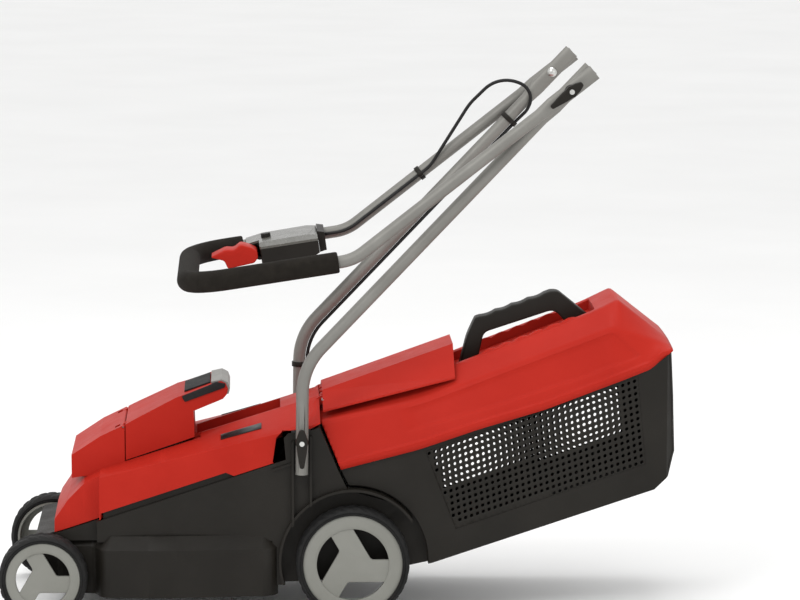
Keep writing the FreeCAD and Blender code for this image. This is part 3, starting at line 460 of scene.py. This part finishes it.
# Grass box: perforated side panels
PANEL = [(-116.5, 264.6), (-453.0, 382.0), (-466.5, 241.5), (-164.5, 138.8)]
FIRST_HOLE, HOLE_R, HOLE_SIDES, MARGIN = (-122.0, 261.4), 2.85, 8, 3.7
ALONG, DOWN = Vector((-9.303, 3.243)), Vector((-0.994, -10.024))      # hole to hole in a row, and in a column
FAR_PHASE = 0.34             # how far the far panel's rows are shifted, in holes
CELL = [(1, 0), (1, 1), (0, 1), (-1, 1), (-1, 0), (-1, -1), (0, -1), (1, -1)]
FACE_Y, SHEET = 145.2, 1.6
RAIL = [(-1.2, 0.1), (0.7, 0.4), (0.7, 1.3), (-1.2, 1.8)]       # the frame's section: off the face, inset


def panel_room(p):
    """Distance from a point to the nearest edge of the panel, inwards."""
    return min(room_beside(a, b, p) for a, b in zip(PANEL, PANEL[1:] + PANEL[:1]))


def grille_sheet(side):
    """Cells with a round hole each, plain ones along the panel's edges, all at the panel's face."""
    verts, faces = [], []
    origin = Vector(FIRST_HOLE) + ALONG * (0.0 if side > 0 else FAR_PHASE)
    for row in range(-3, 18):
        for column in range(-8, 44):
            centre = origin + ALONG * column + DOWN * row
            corners = [centre + (ALONG * i + DOWN * j) / 2 for i, j in CELL]
            if all(panel_room(p) < 0 for p in corners):
                continue
            base = len(verts)
            verts += [(p.x, side * FACE_Y, p.y) for p in corners]
            if panel_room(centre) < MARGIN:
                faces.append(tuple(base + i for i in range(HOLE_SIDES)))
                continue
            for i in range(HOLE_SIDES):
                turn = 2 * math.pi * i / HOLE_SIDES
                outwards = ALONG.normalized() * math.cos(turn) + DOWN.normalized() * math.sin(turn)
                p = centre + outwards * HOLE_R
                verts.append((p.x, side * FACE_Y, p.y))
            hole = base + HOLE_SIDES
            for i in range(HOLE_SIDES):
                after = (i + 1) % HOLE_SIDES
                faces.append((base + i, base + after, hole + after, hole + i))
    return verts, faces


def grille(side):
    """One side's perforated sheet, cut to the panel's outline, and the narrow frame round it."""
    cuts = []
    for a, b in zip(PANEL, PANEL[1:] + PANEL[:1]):
        cuts.append(((a[0], 0, a[1]), (b[1] - a[1], 0, a[0] - b[0])))
    name = "left" if side > 0 else "right"
    item = make("grille_sheet_" + name, "black_plastic", "grass_box", ["grille_" + name], *grille_sheet(side),
                crease=30, cuts=cuts)
    wall = item.modifiers.new("wall", "SOLIDIFY")
    wall.thickness, wall.offset = SHEET / 1000, 0
    wall.use_even_offset = True
    rings = []
    for proud, ring_inset in RAIL + RAIL[:1]:
        ring_y = side * (FACE_Y + proud)
        rings.append([(x, ring_y, z) for x, z in inset(rounded(PANEL, 4, 3), ring_inset)])
    make("grille_frame_" + name, "black_plastic", "grass_box", [], *loft(rings, caps=False), crease=50)


grille(1)
grille(-1)

# Grass box: carry handle with finger scallops on its top and rounded edges
GRIP_FRONT, GRIP_REAR = (-203, 458), (-325, 501)
KNEE, HEEL = (-190, 430), (-337, 501)
FOOT_FRONT, FOOT_REAR = (-177.5, 381), (-387, 460.5)
FOOT_REAR_INNER, FOOT_FRONT_INNER = (-352, 446.5), (-208, 393)
UNDER_REAR, UNDER_FRONT = (-331, 471), (-217, 434)
WAVES, WAVE_DEPTH, WAVE_START, WAVE_RUN = 4, 2.0, 0.06, 0.86
GRIP_STEPS = 60
HANDLE_HALF, HANDLE_ROUNDING = 15, 3.2


def box_handle():
    """The carry handle: its outline starts at the front foot and goes up, back along the grip and down."""
    near = Vector(GRIP_FRONT)
    run = Vector(GRIP_REAR) - near
    up = Vector((-run.y, run.x)).normalized() * -1
    top = []
    for i in range(1, GRIP_STEPS):
        t = i / GRIP_STEPS
        scalloped = WAVE_START < t < WAVE_START + WAVE_RUN
        wave = abs(math.sin(math.pi * WAVES * (t - WAVE_START) / WAVE_RUN)) if scalloped else 0.0
        p = near + run * t
        top.append((p.x - up.x * WAVE_DEPTH * wave, p.y - abs(up.y) * WAVE_DEPTH * wave))
    legs = corner(FOOT_FRONT, KNEE, GRIP_FRONT, 10, 4) + corner(KNEE, GRIP_FRONT, top[0], 6, 4)
    rear = corner(top[-1], GRIP_REAR, HEEL, 4, 3) + corner(GRIP_REAR, HEEL, FOOT_REAR, 6, 4)
    under = corner(FOOT_REAR_INNER, UNDER_REAR, UNDER_FRONT, 12, 5)
    under += corner(UNDER_REAR, UNDER_FRONT, FOOT_FRONT_INNER, 9, 5)
    outline = [FOOT_FRONT] + legs + top + rear + [FOOT_REAR, FOOT_REAR_INNER] + under + [(-208, 392)]
    shape = slab(outline, -HANDLE_HALF, HANDLE_HALF, HANDLE_ROUNDING, 4)
    make("carry_handle", "black_plastic", "grass_box", ["box_handle"], *shape, crease=40)


box_handle()


# Wheels. Radii of the rim are those of the rear one, scaled for the front.
WHEEL_IN, WHEEL_OUT = 141.0, 185.0
REAR_RIM_R, TYRE_WALL = 79.0, 11
SPOKE_OUTER, SPOKE_INNER = 59.5, 30
TREAD_DEPTH, SHOULDER_DEPTH, LUG_STEPS = 1.6, 1.2, 8
SIDEWALL = [(0, 3.2), (1, 2.0), (1.9, 1.9), (2.3, 0.6), (3.1, 0.5), (3.5, 1.6), (4.7, 1.5), (5.1, 0.3),
            (5.9, 0.3), (6.5, 1.4), (8.2, 2.4), (9.8, 4.6)]      # beyond the rim, and in from the outer face
TREAD = [(0.4, 7), (0, 9.5), (0, 14), (0, 18), (0, 20.5)]  # below the tread, and in from the outer face


def polar(r, degrees):
    a = math.radians(degrees)
    return (-r * math.cos(a), r * math.sin(a))


def spokes(scale):
    """The plate of three swept spokes, between the rim's openings."""
    outline = []
    for turn in (0, 120, 240):
        outline += [polar(SPOKE_OUTER * scale, turn + 91 + 3.6 * i) for i in range(11)]
        inner, last = polar(SPOKE_INNER * scale, turn + 134), polar(SPOKE_OUTER * scale, turn + 212)
        outline += corner(polar(SPOKE_OUTER * scale, turn + 127), inner, last, 4 * scale, 3)
    return slab(outline, WHEEL_OUT - 12, WHEEL_OUT - 5.4, 1.4, 3)


def tyre(radius):
    """The tyre with ringed sidewalls and slanted lugs; one turn has LUG_STEPS sections for each lug."""
    inner = radius - TYRE_WALL
    half = [(inner + up, WHEEL_OUT - back) for up, back in SIDEWALL]
    half += [(radius - down, WHEEL_OUT - back) for down, back in TREAD]
    middle = (WHEEL_IN + WHEEL_OUT) / 2
    profile = half + [(r, 2 * middle - y) for r, y in reversed(half)]
    profile += [(inner, WHEEL_IN + 8), (inner, WHEEL_OUT - 8)]
    first, last = len(SIDEWALL), len(profile) - 2 - len(SIDEWALL)
    lug_count = 32 if radius > 80 else 26

    def groove(i, k):
        if not first - 2 <= k < last + 2:
            return 0.0
        outer_half = k < len(half)
        lead = (k - first) if outer_half else (last - 1 - k)
        phase = (i + lead + (0 if outer_half else LUG_STEPS // 2)) % LUG_STEPS
        if 0 <= lead <= 3 or k in (first - 1, last):
            return TREAD_DEPTH if phase < 3 else 0.0
        return SHOULDER_DEPTH if lead == 4 else 0.0

    return revolve(profile, lug_count * LUG_STEPS, groove)


def rim(scale, axle_r):
    """The grey rim: its ring, the hub tube on the axle, and the spokes."""
    ring = [(57.2 * scale, WHEEL_OUT - 12), (57.2 * scale, WHEEL_OUT - 4.6), (58.4 * scale, WHEEL_OUT - 3.7),
            (63 * scale, WHEEL_OUT - 3.1), (73 * scale, WHEEL_OUT - 3.05), (77.4 * scale, WHEEL_OUT - 3.7),
            (78.9 * scale, WHEEL_OUT - 5.2), (78.9 * scale, WHEEL_IN + 4), (77.5 * scale, WHEEL_IN + 2.6),
            (74 * scale, WHEEL_IN + 2.6), (73 * scale, WHEEL_IN + 4), (73 * scale, WHEEL_OUT - 13.5)]
    hub = [(axle_r + 0.1, WHEEL_IN + 4), (14.2, WHEEL_IN + 4), (15, WHEEL_IN + 5), (15, WHEEL_OUT - 10),
           (axle_r + 0.1, WHEEL_OUT - 10)]
    return joined(revolve(ring, 112), revolve(hub, 40), spokes(scale))


def wheel(end, hand, x, radius, axle_r):
    side = 1 if hand == "left" else -1
    scale = (radius - TYRE_WALL) / REAR_RIM_R
    parts = (("tyre", "tyre_black", tyre(radius), 34), ("rim", "hub_grey", rim(scale, axle_r), 38))
    for kind, slot, shape, crease in parts:
        placed = moved(shape, lambda v: (x + side * v[0], side * v[1], radius + v[2]))
        make("%s_shape_%s_%s" % (kind, end, hand), slot, "wheel_%s_%s" % (end, hand),
             ["%s_%s_%s" % (kind, end, hand)], *placed, crease=crease)


for end, x, radius, axle_r in (("front", 489, 70, 4), ("rear", 0, 90, 5)):
    for hand in ("left", "right"):
        wheel(end, hand, x, radius, axle_r)


# Handle: foam, lever, knobs and the cable's slack loop
UPPER_Y, TUBE_R = 186.0, 10.0
PIVOT, GRIP_BEND, GRIP_END, ELBOW = (-340.0, 840.0), (-2.0, 577.0), (258.0, 538.1), (78.0, 404.0)
GRIP_SLOPE = math.atan2(GRIP_BEND[1] - GRIP_END[1], GRIP_END[0] - GRIP_BEND[0])
GRIP_LENGTH = math.hypot(GRIP_BEND[1] - GRIP_END[1], GRIP_END[0] - GRIP_BEND[0])


def grip(u, y, w):
    """A point along the grip bar from its bend, across the mower, and off the loop's plane."""
    return (GRIP_BEND[0] + u * math.cos(GRIP_SLOPE) + w * math.sin(GRIP_SLOPE), y,
            GRIP_BEND[1] - u * math.sin(GRIP_SLOPE) + w * math.cos(GRIP_SLOPE))


def resample(path, pitch):
    """The same line with points about a pitch apart."""
    out = [tuple(path[0])]
    for a, b in zip(path, path[1:]):
        a, b = Vector(a), Vector(b)
        parts = max(1, round((b - a).length / pitch))
        out += [tuple(a.lerp(b, i / parts)) for i in range(1, parts + 1)]
    return out


def bend(a, p, b, radius, steps=10):
    """A round bend at p, as a true arc."""
    a, p, b = Vector(a), Vector(p), Vector(b)
    one, two = (a - p).normalized(), (b - p).normalized()
    half = one.angle(two) / 2
    reach = radius / math.tan(half)
    centre = p + (one + two).normalized() * (radius / math.sin(half))
    start, end = p + one * reach - centre, p + two * reach - centre
    sweep_angle = start.angle(end)
    return [tuple(centre + (start * math.sin(sweep_angle * (1 - t)) + end * math.sin(sweep_angle * t))
                  / math.sin(sweep_angle)) for t in (i / steps for i in range(steps + 1))]


def bent(points, radii, steps=10):
    """A line of points with a true arc of its own radius at each inner one."""
    out = [tuple(points[0])]
    for i, radius in enumerate(radii):
        out += bend(points[i], points[i + 1], points[i + 2], radius, steps)
    return out + [tuple(points[-1])]


FOAM_R, FOAM_BEND, FOAM_START, FOAM_STOP = 16.9, 62, 24, 173
FOAM_LIP = [(11.5, 0.0), (14.4, 0.1), (16.2, 1.2), (16.8, 3.2)]       # radius, and how far in from the end


def foam_end(tip, inwards):
    """The points of one rounded end of the sleeve, from its tip inwards."""
    tip, inwards = Vector(tip), Vector(inwards)
    return [tuple(tip + (inwards - tip).normalized() * back) for r, back in FOAM_LIP]


def foam():
    """The foam sleeve, from the left arm round the front bar to the switch box."""
    ends = [grip(FOAM_START, UPPER_Y, 0), grip(GRIP_LENGTH, UPPER_Y, 0), grip(GRIP_LENGTH, -UPPER_Y, 0),
            grip(FOAM_STOP, -UPPER_Y, 0)]
    path = resample(bent(ends, [FOAM_BEND, FOAM_BEND], 14), 7)
    lip = [r for r, back in FOAM_LIP]
    radii = lip + [FOAM_R] * (len(path) - 2) + lip[::-1]
    path = foam_end(path[0], path[1]) + path[1:-1] + foam_end(path[-1], path[-2])[::-1]
    make("foam_sleeve", "foam_black", "upper_handle", ["foam_grip"], *sweep(path, radii, 32), crease=60)


foam()


LEVER_OUTLINE = [(228, 7), (201, 15.5), (188, 12.5), (176, 20), (162, 14), (151, 6), (151, -8), (158, -15.5),
                 (202, -18.5), (206, -5)]                # along the grip bar, and off it
LEVER_ROUNDING = [5, 4, 5, 4, 3, 3, 2, 3, 3, 3]
LEVER_FROM, LEVER_TO = -117.8, -66.4
LEVER_FALL = 3.2             # how far the ridge's sides fall away


def switch_lever():
    """The red switch lever: a faceted tongue with a ridge down its top."""
    plain = slab(rounded(LEVER_OUTLINE, LEVER_ROUNDING, 3), LEVER_FROM, LEVER_TO, 2.2, 3)

    def ridged(v):
        u, y, w = v
        across = (y + 92) / 26.0
        fall = -LEVER_FALL * across * across * ease((w + 4) / 12.0)
        return grip(u, y, w + fall)
    make("lever_shape", "red_plastic", "switch_lever", ["switch_lever"], *moved(plain, ridged), crease=36)


switch_lever()


WING_OUTLINE = [(-21, -3.5), (-8.5, -8.5), (10, -8.5), (40.5, -3.2), (40.5, 3.2), (10, 8.5), (-8.5, 8.5),
                (-21, 3.5)]
WING_HUB = [(4.2, 0.1), (10.2, 0.1), (10.4, 6.0), (9.6, 7.6), (9.2, 15.6), (7.6, 15.9), (7.0, 14.6),
            (4.2, 14.6)]
RIB_X, RIB_WIDE = -9.9, 0.8


def wing(x, z, y, tilt, side):
    """A wing knob: a round hub under a long thin arm and a short one, with the bolt's end in the middle."""
    arm = slab(rounded(WING_OUTLINE, [3, 6, 9, 3, 3, 9, 6, 3], 4), 7.2, 15.8, 2.0, 3)
    rib = slab([(RIB_X - RIB_WIDE, -RIB_WIDE), (RIB_X + RIB_WIDE, -RIB_WIDE), (RIB_X + RIB_WIDE, RIB_WIDE),
                (RIB_X - RIB_WIDE, RIB_WIDE)], 0.5, 6.5, 0.3, 1)
    a = math.radians(tilt)

    def place(v):
        px, py, pz = v
        along, up = px * math.cos(a) + pz * math.sin(a), pz * math.cos(a) - px * math.sin(a)
        return (x + along, side * (y + py), z + up)
    return moved(joined(arm, revolve(WING_HUB, 40), rib), place)


for end, (kx, kz), ky, tilt in (("base", (80.0, 287.0), 175.4, 90), ("fold", PIVOT, 189.4, 38)):
    for hand, side in (("left", 1), ("right", -1)):
        knob = "%s_%s" % (end, hand)
        make("knob_shape_" + knob, NODE_SLOT["wing_knob_" + knob], "knob_" + knob, ["wing_knob_" + knob],
             *wing(kx, kz, ky, tilt, side), crease=36)


CABLE_R, CABLE_GAP, CLIP_X = 2.8, 0.4, -127.0


def slack_cable():
    """The slack loop of the control cable, as one fixed shape."""
    tube_gap = TUBE_R + CABLE_R + CABLE_GAP
    down = Vector((ELBOW[0] - PIVOT[0], 0, ELBOW[1] - PIVOT[1])).normalized()
    under = Vector((-down.z, 0, down.x))
    under = under * (-1 if under.z > 0 else 1)
    clip_z = GRIP_BEND[1] + (PIVOT[1] - GRIP_BEND[1]) * (CLIP_X - GRIP_BEND[0]) / (PIVOT[0] - GRIP_BEND[0])
    upward = Vector((GRIP_BEND[0] - PIVOT[0], 0, GRIP_BEND[1] - PIVOT[1])).normalized()

    def beneath(s, y):
        """A point under the right lower tube, a distance s below the fold bolt."""
        return tuple(Vector((PIVOT[0], y, PIVOT[1])) + down * s + under * tube_gap)
    clip = (CLIP_X, -UPPER_Y + tube_gap, clip_z)
    points = [clip, tuple(Vector(clip) - upward * 16), (-204, -165, 788), (-252, -154, 836),
              (-314, -147, 812), beneath(75, -157), beneath(100, -165)]
    path = resample(bent(points, [60, 100, 52, 28, 28], 10), 5)
    shape = sweep(path, CABLE_R, 14)
    item = make("cable_slack", NODE_SLOT["cable_loop"], None, ["cable_loop"], *shape, crease=60)
    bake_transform(item)


slack_cable()


# Battery cover: rubber strips let into the lip's flanks
COVER_HALF, COVER_WIDE_X, COVER_TAPER = 86, 360, 0.1875   # half-width at COVER_WIDE_X, and its fall per mm
STRIP = rounded([(270, 343), (214, 364), (200, 361), (201, 354.5), (265, 333.5)], 2.0, 3)


def cover_strips():
    """The strip on each flank of the lip, following the cover's taper."""
    rings = []
    for proud, edge in ((-4.0, 0.0), (1.7, 0.0), (2.3, 0.6)):
        outline = inset(STRIP, edge)
        rings.append([(x, COVER_HALF - COVER_TAPER * (COVER_WIDE_X - x) + proud, z) for x, z in outline])
    strip = loft(rings)
    shape = joined(strip, mirrored(strip))
    make("cover_strips", "grip_rubber", "battery_cover", ["cover_grip_strips"], *shape, crease=40)


cover_strips()
